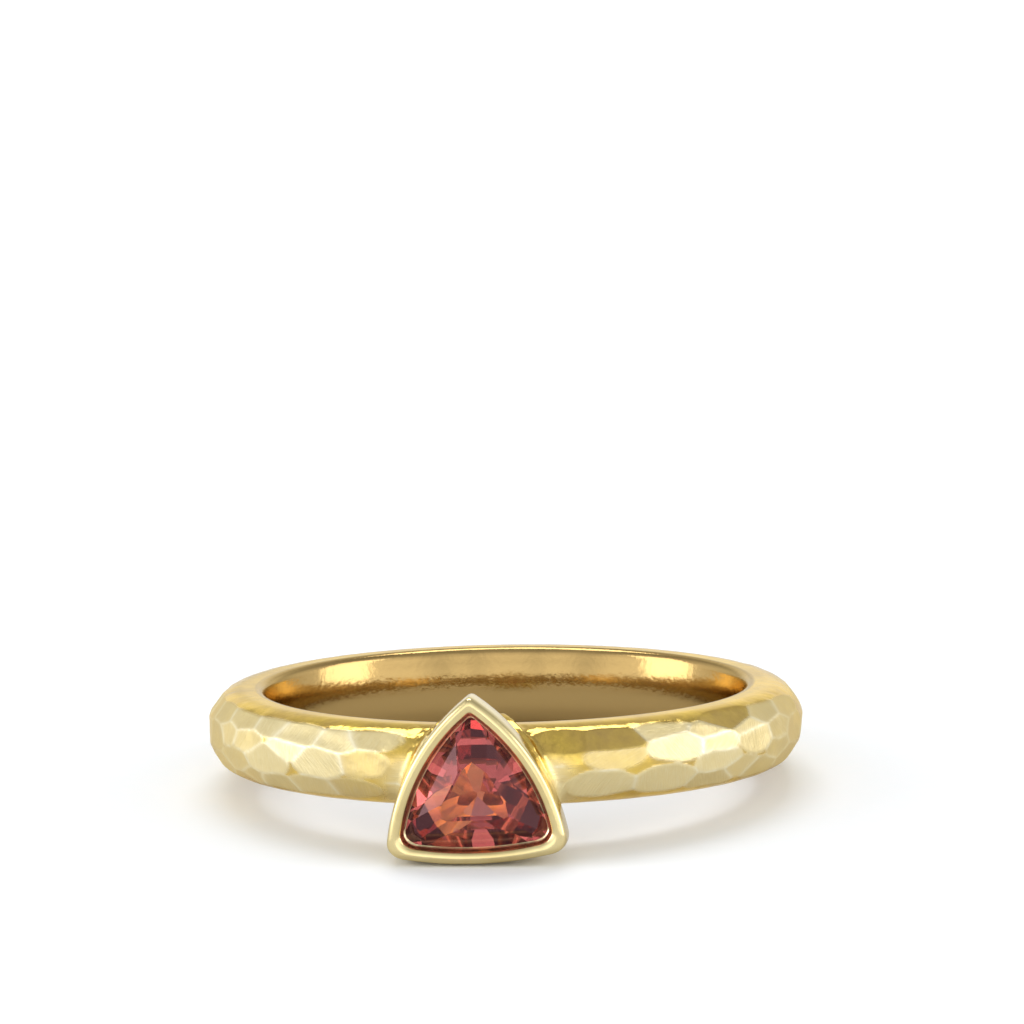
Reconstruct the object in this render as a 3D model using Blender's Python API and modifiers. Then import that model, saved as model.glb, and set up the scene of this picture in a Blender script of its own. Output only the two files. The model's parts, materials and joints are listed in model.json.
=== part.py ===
"""Garnet ring: a hammered gold band with a bulging-triangle garnet in a closed cup setting.

The ring is first shaped upright in its own place: the finger hole runs along Z, the setting
looks along -Y and its point is up. An empty then lays the whole ring down as it rests by
itself, on the foot of the setting and the far side of the band. All lengths are in metres.
"""
import math
import random

import bmesh
import bpy
from mathutils import Matrix, Vector

MM = 0.001

# Band
BORE_RADIUS = 8.50 * MM
BAND_THICKNESS = 2.24 * MM
BAND_HEIGHT = 2.90 * MM
BORE_EASING = 0.16 * MM       # how much wider the finger hole is at its rim than inside
BORE_ROUND = 0.30 * MM        # rounding between the finger hole and the flat side
SIDE_FLAT = 0.34 * MM         # width of the polished flat on each side
DOME_SQUARENESS = 0.92        # 1 is an ellipse, less is a fuller dome

# Cup setting, its outline seen from the front
SETTING_WIDTH = 6.56 * MM
SETTING_HEIGHT = 6.00 * MM
SETTING_DROP = 0.19 * MM      # how far the middle of its height lies below the band's
SETTING_PROUD = 1.30 * MM     # how far its face stands out from the band's crown
CULET_COVER = 0.06 * MM       # how far its back lies behind the stone's lowest point
STRAIGHT_WALL = 0.95 * MM     # how deep its wall runs straight behind the face
SETTING_TAPER = 0.80 * MM     # how much its outline has drawn in at the back
SIDE_BULGE = 0.72 * MM
FOOT_BULGE = 0.40 * MM
POINT_ROUND = 0.10 * MM
CORNER_ROUND = 0.42 * MM
EDGE_ROUND = 0.16 * MM        # rounding of the outer edge of its face

# Lip that holds the stone
LIP_FLAT = 0.42 * MM          # width of its face
LIP_WIDTH = 0.60 * MM         # width to its inner edge, over the stone
LIP_THICKNESS = 0.40 * MM

# Garnet
STONE_CLEARANCE = 0.12 * MM   # between stone and metal
GIRDLE_HEIGHT = 0.12 * MM
CROWN_HEIGHT = 0.72 * MM
CROWN_ANGLE = 36.0
PAVILION_DEPTH = 2.05 * MM
STONE_MIDDLE = 0.40           # height of the stone's lowest point, as a share of the setting's
WINDOW_SHARE = 0.20           # the window behind the stone, as a share of the stone

# Fineness of the turned and lofted shapes
BAND_STEPS = 96
DOME_STEPS = 5
EDGE_STEPS = 2
SIDE_STEPS = 10
CORNER_STEPS = 3
CORNER_SPREAD = math.radians(9)
WELD = 0.000004               # points nearer than this are one

# Hammer marks that show on the front: degrees round from the setting, degrees that the mark
# looks up, and its depth as a share of the band's thickness.
HAMMER_MARKS = (
    (-23, 42, 0.030), (-30, 36, 0.034), (-39, 40, 0.040), (-49, 46, 0.034), (-59, 42, 0.038),
    (-68, 40, 0.030), (-77, 38, 0.032), (-24, 6, 0.034), (-34, 4, 0.040), (-46, 8, 0.044),
    (-55, 12, 0.030), (-63, -8, 0.032), (-64, 16, 0.028), (-73, 10, 0.034), (-82, 6, 0.030),
    (-27, -34, 0.036), (-37, -38, 0.040), (-47, -34, 0.038), (-57, -30, 0.030),
    (-59, -50, 0.026), (-68, -34, 0.034), (-79, -28, 0.034),
    (19, 38, 0.040), (27, 34, 0.034), (28, 10, 0.030), (38, 44, 0.036), (41, 18, 0.040),
    (50, 22, 0.034), (50, -8, 0.030), (57, 48, 0.038), (60, 22, 0.032), (68, 50, 0.040),
    (70, 20, 0.034), (63, -6, 0.034), (25, -30, 0.044), (38, -28, 0.044), (49, -38, 0.034),
    (58, -32, 0.034), (68, -32, 0.034), (77, 36, 0.032), (76, 4, 0.034), (79, -28, 0.034),
)
# Rows of marks over the rest of the band, which the front hides
FAR_ROWS = (-36, 0, 36)
FAR_FROM = 90
FAR_TO = 270
FAR_SPACING = 12.0
FAR_DEPTH = 0.034
FAR_DRIFT = 2.0               # degrees that a mark wanders round the band
FAR_SWAY = 6.0                # degrees that its look up wanders
FAR_DEPTHS = (0.75, 1.2)
SCATTER_SEED = 11

# Crown and back facets of the garnet: degrees round from one side's middle, and how far out
# the facet meets the girdle, as a share of the outline there. Each row is cut at three sides.
CROWN_FACETS = ((0, 0.955, 1.00), (-34, 0.965, 1.08), (34, 0.965, 1.08), (60, 0.950, 0.90))
STAR_FACETS = ((-18, 0.72, 0.62), (18, 0.72, 0.62))
STAR_RISE = 0.55              # where the star facets start, as a share of the crown's height
BACK_FACETS = ((0, 0.97), (-24, 0.98), (24, 0.98), (60, 0.97))

GOLD = (0.80, 0.63, 0.30, 1.0)
GARNET = (0.42, 0.035, 0.05, 1.0)

BAND_RADIUS = BORE_RADIUS + BAND_THICKNESS
FACE_RADIUS = BAND_RADIUS + SETTING_PROUD
FOOT_LEVEL = -SETTING_DROP - SETTING_HEIGHT / 2
POINT_LEVEL = -SETTING_DROP + SETTING_HEIGHT / 2
POCKET_WALL = LIP_WIDTH - 2 * STONE_CLEARANCE     # metal left round the stone's pocket
GIRDLE_INSET = POCKET_WALL + STONE_CLEARANCE
GIRDLE_TOP = (LIP_THICKNESS + STONE_CLEARANCE
              + (LIP_WIDTH - GIRDLE_INSET) * math.tan(math.radians(CROWN_ANGLE)))
GIRDLE_BOTTOM = GIRDLE_TOP + GIRDLE_HEIGHT
CULET_DEPTH = GIRDLE_BOTTOM + PAVILION_DEPTH
SETTING_DEPTH = CULET_DEPTH + CULET_COVER
FOOT_CORNER = Vector((SETTING_WIDTH / 2, FOOT_LEVEL + FOOT_BULGE))
OUTLINE_CENTRE = Vector((0.0, FOOT_LEVEL + SETTING_HEIGHT * STONE_MIDDLE))


def collection_named(name):
    """A new collection in the scene."""
    group = bpy.data.collections.new(name)
    bpy.context.scene.collection.children.link(group)
    return group


def new_object(name, bm, group):
    """An object from a bmesh, with its faces turned outward."""
    bmesh.ops.recalc_face_normals(bm, faces=bm.faces)
    mesh = bpy.data.meshes.new(name)
    bm.to_mesh(mesh)
    bm.free()
    obj = bpy.data.objects.new(name, mesh)
    group.objects.link(obj)
    return obj


def new_material(name, color, metallic, roughness):
    """A plain Principled material."""
    material = bpy.data.materials.new(name)
    material.use_nodes = True
    shader = material.node_tree.nodes["Principled BSDF"]
    shader.inputs["Base Color"].default_value = color
    shader.inputs["Metallic"].default_value = metallic
    shader.inputs["Roughness"].default_value = roughness
    material.diffuse_color = color
    return material


def cut_away(bm, point, normal):
    """Slice off what lies beyond a plane, and close the cut with one face."""
    everything = bm.verts[:] + bm.edges[:] + bm.faces[:]
    cut = bmesh.ops.bisect_plane(bm, geom=everything, dist=WELD / 4, plane_co=point,
                                 plane_no=normal, clear_outer=True)
    rim = [item for item in cut["geom_cut"]
           if isinstance(item, bmesh.types.BMEdge) and item.is_boundary]
    if rim:
        bmesh.ops.holes_fill(bm, edges=rim)


def half_section():
    """The band's upper half section from the crown of the dome to the middle of the bore."""
    half = BAND_HEIGHT / 2
    flat_outer = BORE_RADIUS + BORE_EASING + BORE_ROUND + SIDE_FLAT
    rise = BAND_RADIUS - flat_outer
    points = []
    for step in range(DOME_STEPS + 1):
        angle = math.radians(90 * step / DOME_STEPS)
        out = max(math.cos(angle), 0.0) ** DOME_SQUARENESS
        up = math.sin(angle) ** DOME_SQUARENESS
        points.append((flat_outer + rise * out, half * up))
    points.append((flat_outer - SIDE_FLAT, half))
    corner = BORE_RADIUS + BORE_EASING
    for angle in (math.radians(45), math.radians(90)):
        points.append((corner + BORE_ROUND * (1 - math.sin(angle)),
                       half - BORE_ROUND * (1 - math.cos(angle))))
    points.append((BORE_RADIUS + BORE_EASING / 4, (half - BORE_ROUND) / 2))
    points.append((BORE_RADIUS, 0.0))
    return points


def band_section():
    """The whole closed section, run down its outer side."""
    upper = half_section()
    outer = upper[:DOME_STEPS + 1]
    inner = upper[DOME_STEPS + 1:]
    outside = outer[::-1] + [(out, -up) for out, up in outer[1:]]
    inside = [(out, -up) for out, up in inner] + inner[-2::-1]
    return outside + inside


def turned_band(group):
    """The plain band, its section turned round the finger hole."""
    mesh = bpy.data.meshes.new("band_section")
    points = band_section()
    edges = [(index, (index + 1) % len(points)) for index in range(len(points))]
    mesh.from_pydata([(out, 0.0, up) for out, up in points], edges, [])
    obj = bpy.data.objects.new("band_section", mesh)
    group.objects.link(obj)
    screw = obj.modifiers.new("turn", "SCREW")
    screw.axis = "Z"
    screw.steps = BAND_STEPS
    screw.render_steps = BAND_STEPS
    screw.use_merge_vertices = True
    screw.merge_threshold = 0.00001
    return obj


def applied(obj, group, name):
    """A copy of an object with its modifiers made real. The first object is removed."""
    bpy.context.view_layer.update()
    graph = bpy.context.evaluated_depsgraph_get()
    bm = bmesh.new()
    mesh = bpy.data.meshes.new_from_object(obj.evaluated_get(graph))
    bm.from_mesh(mesh)
    bpy.data.objects.remove(obj)
    bmesh.ops.remove_doubles(bm, verts=bm.verts, dist=WELD / 4)
    return new_object(name, bm, group)


def dome_reach(look_up):
    """How far the band's section reaches in the direction that a mark faces."""
    return max(out * math.cos(look_up) + up * math.sin(look_up) for out, up in half_section())


def all_marks():
    """Marks charted on the front, then scattered rows round the rest of the band."""
    marks = list(HAMMER_MARKS)
    scatter = random.Random(SCATTER_SEED)
    for row, look_up in enumerate(FAR_ROWS):
        around = FAR_FROM + FAR_SPACING / 2 * (row % 2)
        while around <= FAR_TO:
            drift = scatter.uniform(-FAR_DRIFT, FAR_DRIFT)
            sway = scatter.uniform(-FAR_SWAY, FAR_SWAY)
            marks.append((around + drift, look_up + sway, FAR_DEPTH * scatter.uniform(*FAR_DEPTHS)))
            around += FAR_SPACING
    return marks


def hammer(obj):
    """Cut every hammer mark into the band as a flat facet."""
    bm = bmesh.new()
    bm.from_mesh(obj.data)
    for around, up, share in all_marks():
        turn = math.radians(around)
        look_up = math.radians(up)
        level = math.cos(look_up)
        normal = Vector((math.sin(turn) * level, -math.cos(turn) * level, math.sin(look_up)))
        distance = dome_reach(abs(look_up)) - share * BAND_THICKNESS
        cut_away(bm, normal * distance, normal)
    bmesh.ops.remove_doubles(bm, verts=bm.verts, dist=WELD)
    bmesh.ops.triangulate(bm, faces=[face for face in bm.faces if len(face.verts) > 4])
    bm.to_mesh(obj.data)
    bm.free()


def arc_through(start, end, bulge):
    """Centre and radius of the arc from start to end that bulges to the right of the way."""
    chord = end - start
    half = chord.length / 2
    radius = (half * half + bulge * bulge) / (2 * bulge)
    outward = Vector((chord.y, -chord.x)).normalized()
    return (start + end) / 2 - outward * (radius - bulge), radius


def outline_arcs():
    """The three arcs of the setting's outline, as centres and radii."""
    point = Vector((0.0, POINT_LEVEL + POINT_ROUND / 2))
    mirrored = Vector((-FOOT_CORNER.x, FOOT_CORNER.y))
    right = arc_through(FOOT_CORNER, point, SIDE_BULGE)
    left = arc_through(point, mirrored, SIDE_BULGE)
    foot = arc_through(mirrored, FOOT_CORNER, FOOT_BULGE)
    return right, left, foot


def ray_to_arc(arc, way, inset):
    """Distance from the outline's centre along a way to an arc drawn in by an inset."""
    middle, radius = arc
    offset = middle - OUTLINE_CENTRE
    along = offset.dot(way)
    inner = (radius - inset) ** 2 - offset.length_squared + along * along
    return along + math.sqrt(inner)


def rounded_least(first, second, blend):
    """The lesser of two lengths, eased where they meet."""
    near = max(blend - abs(first - second), 0.0) / blend
    return min(first, second) - near * near * blend / 4


def outline_ways():
    """Directions of the outline's points: close together at corners, even along the sides."""
    corner = FOOT_CORNER - OUTLINE_CENTRE
    low = math.atan2(corner.y, corner.x)
    corners = (low, math.pi / 2, math.pi - low, low + 2 * math.pi)
    ways = []
    for start, end in zip(corners[:-1], corners[1:]):
        for step in range(-CORNER_STEPS + 1, CORNER_STEPS):
            ways.append(start + CORNER_SPREAD * step / CORNER_STEPS)
        for step in range(SIDE_STEPS):
            share = (step + 0.5) / SIDE_STEPS
            ways.append(start + CORNER_SPREAD + (end - start - 2 * CORNER_SPREAD) * share)
    return [Vector((math.cos(way), math.sin(way))) for way in ways]


def outline(inset):
    """Points of the setting's outline, drawn in by an inset, as seen from the front."""
    arcs = outline_arcs()
    points = []
    for way in outline_ways():
        right, left, foot = [ray_to_arc(arc, way, inset) for arc in arcs]
        reach = rounded_least(right, left, POINT_ROUND * 2)
        reach = rounded_least(reach, foot, CORNER_ROUND * 2)
        points.append(OUTLINE_CENTRE + way * reach)
    return points


def shrunk(points, share):
    """An outline scaled about the stone's middle."""
    return [OUTLINE_CENTRE + (point - OUTLINE_CENTRE) * share for point in points]


def place(point, depth):
    """A point of the front view, at a depth behind the setting's face."""
    return Vector((point.x, -(FACE_RADIUS - depth), point.y))


def loft(name, sections, group):
    """A closed solid through outlines at their depths, from the front to the back."""
    bm = bmesh.new()
    rings = []
    for points, depth in sections:
        rings.append([bm.verts.new(place(point, depth)) for point in points])
    count = len(rings[0])
    for ring, following in zip(rings[:-1], rings[1:]):
        for index in range(count):
            after = (index + 1) % count
            bm.faces.new((ring[index], ring[after], following[after], following[index]))
    bm.faces.new(rings[0])
    bm.faces.new(reversed(rings[-1]))
    return new_object(name, bm, group)


def cup_solid(group):
    """The setting's outer form: a straight wall behind the face, then drawn in to the back."""
    sections = []
    for step in range(EDGE_STEPS + 1):
        angle = math.radians(90 * step / EDGE_STEPS)
        sections.append((outline(EDGE_ROUND * (1 - math.sin(angle))),
                         EDGE_ROUND * (1 - math.cos(angle))))
    sections.append((outline(0.0), STRAIGHT_WALL))
    for share in (0.5, 1.0):
        depth = STRAIGHT_WALL + (SETTING_DEPTH - STRAIGHT_WALL) * share
        sections.append((outline(SETTING_TAPER * share * share), depth))
    return loft("cup_form", sections, group)


def seat_cutter(group):
    """The hollow for the stone: lip, pocket, tapered seat and a window into the finger hole."""
    pocket = outline(POCKET_WALL)
    window = shrunk(pocket, WINDOW_SHARE)
    slope = (LIP_WIDTH - LIP_FLAT) / LIP_THICKNESS
    sections = [
        (outline(LIP_FLAT - slope * STONE_CLEARANCE), -STONE_CLEARANCE),
        (outline(LIP_WIDTH), LIP_THICKNESS),
        (pocket, LIP_THICKNESS + STONE_CLEARANCE / 2),
        (pocket, GIRDLE_BOTTOM + 2 * STONE_CLEARANCE),
        (window, CULET_DEPTH - PAVILION_DEPTH * WINDOW_SHARE / 2),
        (window, FACE_RADIUS - BORE_RADIUS + BAND_THICKNESS),
    ]
    return loft("seat_cutter", sections, group)


def bore_cutter(group):
    """Keeps the finger hole clear of the setting's back."""
    bm = bmesh.new()
    bmesh.ops.create_cone(bm, cap_ends=True, segments=BAND_STEPS, radius1=BORE_RADIUS,
                          radius2=BORE_RADIUS, depth=2 * SETTING_HEIGHT)
    return new_object("bore_cutter", bm, group)


def boolean(obj, other, operation):
    """A Boolean modifier with a form or a cutter that is not itself part of the ring."""
    modifier = obj.modifiers.new(operation.lower(), "BOOLEAN")
    modifier.operation = operation
    modifier.object = other
    other.hide_render = True
    other.display_type = "WIRE"


def girdle_reach(points, way):
    """How far an outline reaches from the stone's middle in one direction."""
    return max((point - OUTLINE_CENTRE).dot(way) for point in points)


def stone_facet(bm, points, way, share, depth, slope, front):
    """Cut one facet through a line at the girdle, leaning in by a slope in radians."""
    reach = girdle_reach(points, way) * share
    at = place(OUTLINE_CENTRE + way * reach, depth)
    lean = -math.cos(slope) if front else math.cos(slope)
    normal = Vector((way.x * math.sin(slope), lean, way.y * math.sin(slope)))
    cut_away(bm, at, normal)


def garnet(group):
    """The stone: a prism of its outline, cut to a table, crown facets and back facets."""
    girdle = outline(GIRDLE_INSET)
    obj = loft("garnet", [(girdle, GIRDLE_TOP - CROWN_HEIGHT), (girdle, CULET_DEPTH)], group)
    bm = bmesh.new()
    bm.from_mesh(obj.data)
    crown = math.radians(CROWN_ANGLE)
    for side in (30, 150, 270):
        for turn, share, steepness in CROWN_FACETS:
            angle = math.radians(side + turn)
            way = Vector((math.cos(angle), math.sin(angle)))
            stone_facet(bm, girdle, way, share, GIRDLE_TOP, crown * steepness, True)
        for turn, share, steepness in STAR_FACETS:
            angle = math.radians(side + turn)
            way = Vector((math.cos(angle), math.sin(angle)))
            stone_facet(bm, girdle, way, share, GIRDLE_TOP - CROWN_HEIGHT * STAR_RISE,
                        crown * steepness, True)
        for turn, share in BACK_FACETS:
            angle = math.radians(side + turn)
            way = Vector((math.cos(angle), math.sin(angle)))
            slope = math.atan(PAVILION_DEPTH / (girdle_reach(girdle, way) * share))
            stone_facet(bm, girdle, way, share, GIRDLE_BOTTOM, slope, False)
    bmesh.ops.remove_doubles(bm, verts=bm.verts, dist=WELD)
    bm.to_mesh(obj.data)
    bm.free()
    return obj


def resting_tilt(points):
    """The lean that brings the setting's foot and the band's far side down together."""
    low = 0.0
    high = math.radians(40)
    for _ in range(48):
        tilt = (low + high) / 2
        front = min(p.z * math.cos(tilt) - p.y * math.sin(tilt) for p in points if p.y < 0)
        back = min(p.z * math.cos(tilt) - p.y * math.sin(tilt) for p in points if p.y > 0)
        if front < back:
            low = tilt
        else:
            high = tilt
    return tilt


def lay_down(objects):
    """Parent the pieces to an empty that rests the ring on the ground, centred over it."""
    points = [vertex.co.copy() for obj in objects for vertex in obj.data.vertices]
    turn = Matrix.Rotation(-resting_tilt(points), 4, "X")
    laid = [turn @ point for point in points]
    middle = [(min(p[axis] for p in laid) + max(p[axis] for p in laid)) / 2 for axis in (0, 1)]
    ground = min(p.z for p in laid)
    rest = bpy.data.objects.new("ring_at_rest", None)
    rest.matrix_world = Matrix.Translation((-middle[0], -middle[1], -ground)) @ turn
    objects[0].users_collection[0].objects.link(rest)
    for obj in objects:
        obj.parent = rest
    return rest


def shade(obj, material):
    """Give a piece its material and soft shading with crisp facet edges."""
    obj.data.materials.clear()
    obj.data.materials.append(material)
    obj.data.shade_smooth()
    obj.data.set_sharp_from_angle(angle=math.radians(12))


def main():
    for obj in list(bpy.data.objects):
        bpy.data.objects.remove(obj)
    parts = collection_named("garnet_ring")
    cutters = collection_named("cutters")

    metal = applied(turned_band(parts), parts, "band_and_setting")
    hammer(metal)
    boolean(metal, cup_solid(cutters), "UNION")
    boolean(metal, seat_cutter(cutters), "DIFFERENCE")
    boolean(metal, bore_cutter(cutters), "DIFFERENCE")
    metal = applied(metal, parts, "band_and_setting")
    stone = garnet(parts)

    shade(metal, new_material("gold", GOLD, 1.0, 0.22))
    shade(stone, new_material("garnet_red", GARNET, 0.0, 0.04))
    lay_down([metal, stone])


main()
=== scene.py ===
"""Garnet ring: the finished looks of a hammered gold band with a trillion garnet in a cup setting.

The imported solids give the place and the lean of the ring. The band, the setting and the stone
are shaped upright in the ring's own place, with the finger hole along Z and the setting's face
towards -Y, and are then laid down onto the solids.
"""
import json
import math
import random

import bmesh
import bpy
import numpy as np
from bpy.props import (FloatProperty, FloatVectorProperty, IntProperty, PointerProperty)
from mathutils import Matrix, Vector, noise


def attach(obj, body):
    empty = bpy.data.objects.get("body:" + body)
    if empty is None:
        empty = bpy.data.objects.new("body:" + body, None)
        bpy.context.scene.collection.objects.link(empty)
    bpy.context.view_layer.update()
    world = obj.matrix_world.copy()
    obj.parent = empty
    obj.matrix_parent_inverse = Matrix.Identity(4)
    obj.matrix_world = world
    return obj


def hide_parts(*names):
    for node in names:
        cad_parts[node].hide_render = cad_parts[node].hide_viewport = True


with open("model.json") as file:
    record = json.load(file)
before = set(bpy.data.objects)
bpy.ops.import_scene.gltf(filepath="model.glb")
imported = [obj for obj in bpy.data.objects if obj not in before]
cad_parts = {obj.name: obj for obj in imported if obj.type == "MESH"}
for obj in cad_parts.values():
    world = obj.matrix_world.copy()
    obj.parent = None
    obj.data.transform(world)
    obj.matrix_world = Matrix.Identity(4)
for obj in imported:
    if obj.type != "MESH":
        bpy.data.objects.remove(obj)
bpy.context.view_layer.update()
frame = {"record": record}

bl_info = {
    "name": "Garnet ring",
    "version": (1, 0, 0),
    "blender": (4, 5, 0),
    "location": "3D View > Sidebar > Garnet ring",
    "description": "Builds a hammered gold ring with a trillion garnet on its studio floor",
    "category": "Add Mesh",
}

MM = 0.001
BAND_NODE = "band_and_setting"
STONE_NODE = "garnet"

# Hammer marks on the front. Columns: degrees round from the setting, degrees that the mark looks
# up, depth as a share of the band's thickness, direction of its file strokes in degrees, and how
# strongly it is brushed.
HAMMER_MARKS = (
    (-22, 38, 0.034, 70, 0.9), (-29.5, 33, 0.036, 62, 1.0), (-40, 37, 0.044, 78, 1.0),
    (-48.5, 42, 0.032, 95, 1.0), (-59, 42, 0.038, 100, 0.9), (-70, 40, 0.036, 85, 0.8),
    (-80, 38, 0.034, 60, 0.6), (-23, 4, 0.030, 88, 0.5), (-33, 0, 0.042, 128, 1.0),
    (-42, 12, 0.030, 92, 0.8), (-48, -6, 0.044, 94, 1.0), (-55, 14, 0.032, 60, 0.8),
    (-60, -16, 0.036, 40, 0.8), (-64, 16, 0.030, 110, 0.8), (-71, 6, 0.036, 80, 0.7),
    (-81, 2, 0.036, 120, 0.5), (-26, -34, 0.034, 88, 0.6), (-36, -38, 0.042, 75, 0.9),
    (-46, -40, 0.038, 100, 0.9), (-54, -36, 0.030, 60, 0.8), (-60, -50, 0.028, 90, 0.6),
    (-68, -32, 0.036, 120, 0.7), (-79, -30, 0.036, 70, 0.6),
    (17, 40, 0.046, 0, 0.0), (26, 38, 0.048, 0, 0.05), (27, 11, 0.030, 30, 0.5),
    (38, 45, 0.036, 5, 0.9), (41, 17, 0.044, 120, 0.9), (49.5, 34, 0.030, 70, 0.8),
    (57, 52, 0.046, 0, 0.1), (51, 13, 0.026, 40, 0.8), (51, -9, 0.036, 110, 1.0),
    (24, -25, 0.048, 60, 1.0), (38, -26, 0.050, 100, 1.0), (50, -38, 0.036, 120, 0.9),
    (58, -26, 0.032, 80, 0.8), (66, -34, 0.038, 60, 0.8), (63, 10, 0.036, 95, 0.8),
    (62, 30, 0.030, 60, 0.8), (69, 44, 0.042, 92, 0.8), (73, 14, 0.034, 120, 0.7),
    (72, -10, 0.032, 60, 0.7), (80, 38, 0.036, 80, 0.6), (82, 4, 0.036, 110, 0.5),
    (78, -30, 0.036, 90, 0.6),
)
# Rows of marks over the rest of the band: degrees that each row looks up, the degrees round where
# the rows begin and end, their spacing, how far each is shifted, as a share of the spacing, and
# the depth of their marks, as a share of the band's thickness
FAR_ROWS = (-38, -3, 36)
FAR_FROM = 90.0
FAR_TO = 270.0
FAR_SPACING = 10.5
FAR_SHIFT = 0.4
FAR_DEPTH = 0.034
# How far those marks stray, in degrees round and up
STRAY_ROUND = 2.4
STRAY_UP = 7
# Unevenness of each mark's floor: its height, the spread of its waves in radians per metre, and
# the range that phases are drawn from
FLOOR_WAVE = 0.009 * MM
WAVE_SPREAD = 2600
PHASE_RANGE = 6.28
# How far the file strokes of a mark are slid along against the next mark's
STROKE_SLIDE = 40
# Widths over which one mark's brushing turns into the next's, the level where a dent begins and
# how softly, the width of a ridge's painted highlight, and the bare rim: its width, wandering and
# softness
MARK_BLEND = 0.010 * MM
DENT_LEVEL = 0.028 * MM
DENT_BLEND = 0.006 * MM
RIDGE_WIDTH = 0.018 * MM
RIM_BARE = 0.15 * MM
RIM_WANDER = 0.10 * MM
RIM_BLEND = 0.10 * MM
# How far under a mark's floor a face may lie and still have that mark's strokes, and how many
# millimetres of strokes there are across the dome for each radian
STROKE_FLOOR = -0.030 * MM
STROKE_ACROSS = 1.35
# A mark pushes a point only where the cosine between their directions is over this
LEAST_FACING = 0.25
# How far from the bore's rounding the solder's fillet dies out
FILLET_FADE = 0.50 * MM
# Unevenness of the dome, and lumps, creases and grains of solder beside the setting. Each has
# its noise cells per metre and its height in millimetres.
UNEVEN = ((1300, 0.014), (3600, 0.005))
LUMP_PITCH = 2300
LUMP_HEIGHT = 0.035
CREASE_PITCH = 1700
CREASE_DEPTH = 0.10
CREASE_WIDTH = 0.25
GRAIN_PITCH = 6500
GRAIN_HEIGHT = 0.010
# Where the solder begins outside the wall and where it ends
SOLDER_FROM = 0.02 * MM
SOLDER_REACH = 1.9 * MM

# Facets of the stone: degrees round from a side's middle, share of the outline's reach where the
# facet meets its level, and its slope as a share of the crown's angle. Cut at all three sides.
CROWN_FACETS = ((0, 0.955, 0.94), (-34, 0.965, 1.08), (34, 0.965, 1.08), (60, 0.960, 1.25))
STAR_FACETS = ((-22, 0.74, 0.66), (22, 0.74, 0.66))
STAR_RISE = 0.55
# Facets of the back have one more column, how deep they start as a share of the back's depth.
BACK_FACETS = ((0, 0.97, 0.0, 1.00), (-32, 0.98, 0.0, 1.05), (32, 0.98, 0.0, 1.05),
               (60, 0.97, 0.0, 0.96), (60, 0.80, 0.22, 0.78), (0, 0.50, 0.50, 0.76))
SIDE_MIDDLES = (30, 150, 270)

# The setting's rounded outer edge, and its lip from there to the bright cut at the stone.
# Columns: inset from the outline and depth behind the face, in millimetres.
EDGE_SHAPE = ((0.004, 0.34), (0.014, 0.25), (0.030, 0.175), (0.052, 0.118), (0.082, 0.072),
              (0.122, 0.034), (0.170, 0.010))
LIP_SHAPE = ((0.225, 0.000), (0.285, 0.002), (0.340, 0.014), (0.390, 0.036), (0.430, 0.068),
             (0.462, 0.112), (0.487, 0.168), (0.506, 0.230), (0.522, 0.290), (0.540, 0.338),
             (0.556, 0.358), (0.580, 0.374))
# The lip's inner edge wanders: its waves round the outline, how far, and from which ring on
LIP_WAVES = (5, 9, 14, 23, 37, 58, 83)
LIP_WANDER = 0.022 * MM
LIP_SMOOTH_RINGS = 7
LIP_SEED = 5
# How far the top of the girdle lies behind the lip, apart from the clearance
GIRDLE_DROP = 0.087 * MM
# The setting's back: metal behind the stone's lowest point, the share of it that is flat, its
# rounding, and the wall of its window and how far that stops short of the finger hole
BACK_WALL = 0.06 * MM
BACK_FLAT = 0.94
BACK_ROUND = 0.10 * MM
LINER_WALL = 0.05 * MM
LINER_SHORT = 0.02 * MM
# Where the setting's finishes lie: how far inside the outline they begin, how deep behind the
# face the bright cut begins and how strong its painted highlight is, and where the lip's inner
# wall turns dark as painted shade
FINISH_INSET = 0.40 * MM
BRIGHT_CUT_DEPTH = 0.325 * MM
BRIGHT_CUT_SHARE = 0.4
DARK_FROM = 0.10 * MM
DARK_OVER = 0.10 * MM
SHARP_ANGLE = math.radians(38)
# Points round the outline for measuring, for the cutter of the band's seat, and for the stone
FINE_COUNT = 720
CUTTER_COUNT = 60
GIRDLE_COUNT = 96
# How much wider the band's seat is cut than the setting's own
CUTTER_ROOM = 0.04 * MM

# The band is spun as a part of the circle and doubled this often.
DOUBLINGS = 5
# How much closer together points lie at the outline's corners, and faces at the band's front
CORNER_GATHER = 0.11
FRONT_GATHER = 0.34

# What the studio's walls show from low to high, from front to back and from left to right.
# Columns: place from 0 to 1, and brightness.
TENT_UPWARD = ((0.0, 0.55), (0.48, 0.70), (0.52, 1.0), (0.60, 1.0), (0.70, 0.80), (0.82, 0.60),
               (0.92, 0.40), (1.0, 0.35))
TENT_BACKWARD = ((0.50, 1.0), (0.60, 0.74), (0.85, 0.56), (1.0, 0.70))
TENT_ACROSS = ((0.0, 1.0), (0.14, 1.0), (0.22, 0.72), (0.30, 1.0), (0.37, 1.0), (0.42, 0.80),
               (0.47, 1.0), (0.60, 1.0), (0.66, 0.78), (0.72, 1.0), (0.79, 0.74), (0.88, 1.0),
               (1.0, 1.0))
TENT_STRENGTH = 1.5
# Columns: name, place, width and height in metres, and what its face shows
SOFTBOXES = (("upper_softbox", (-0.04, 0.24, 0.48), 0.40, 0.26, 3.2),
             ("left_softbox", (-0.52, -0.06, 0.20), 0.30, 0.34, 2.0),
             ("right_softbox", (0.52, 0.02, 0.20), 0.30, 0.34, 1.8))
PHOTO_WIDTH = 1024.0
SENSOR_WIDTH = 36.0


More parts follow.
